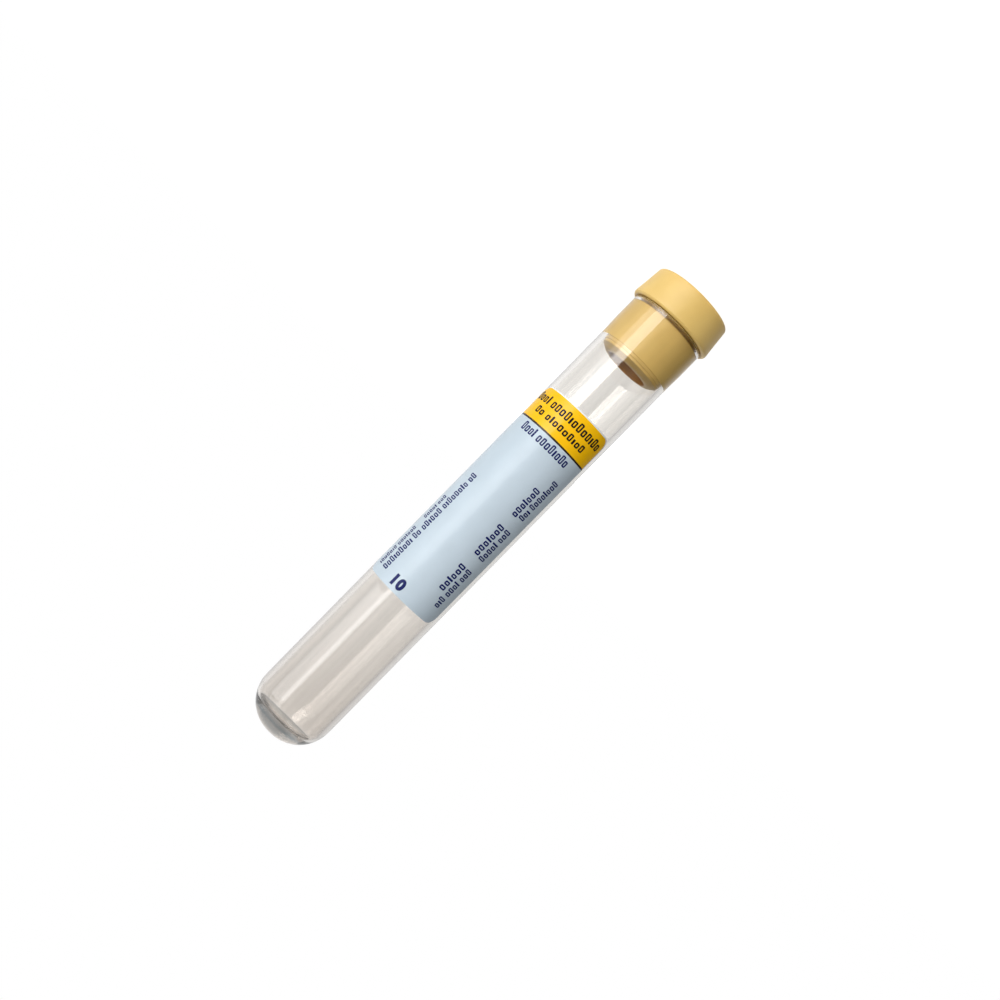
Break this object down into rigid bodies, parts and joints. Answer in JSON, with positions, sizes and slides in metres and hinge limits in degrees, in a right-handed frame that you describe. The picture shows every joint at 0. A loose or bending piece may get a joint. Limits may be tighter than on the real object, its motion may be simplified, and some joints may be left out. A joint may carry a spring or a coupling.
{
  "type": "blood collection tube",
  "caption": "Clear round-bottomed evacuated blood collection tube with a tan rubber stopper and a printed label, standing head down on its stopper.",
  "frame": {"origin": "centre of the stopper's flat top face, which the tube stands on head down", "axes": "+Z along the tube from the stopper to the round bottom; the middle of the label faces -Y"},
  "size_m": [0.0172, 0.0172, 0.1065],
  "materials": {
    "stopper_rubber": "satin",
    "clear_plastic": "gloss",
    "label_paper": "satin"
  },
  "bodies": {
    "stopper": {"stopper": "stopper_rubber"},
    "tube": {"tube": "clear_plastic", "label": "label_paper"}
  },
  "joints": [
    {"name": "stopper_pull", "type": "slide", "parent": "stopper", "child": "tube", "axis": [0, 0, 1], "range_m": [0, 0.015]}
  ]
}
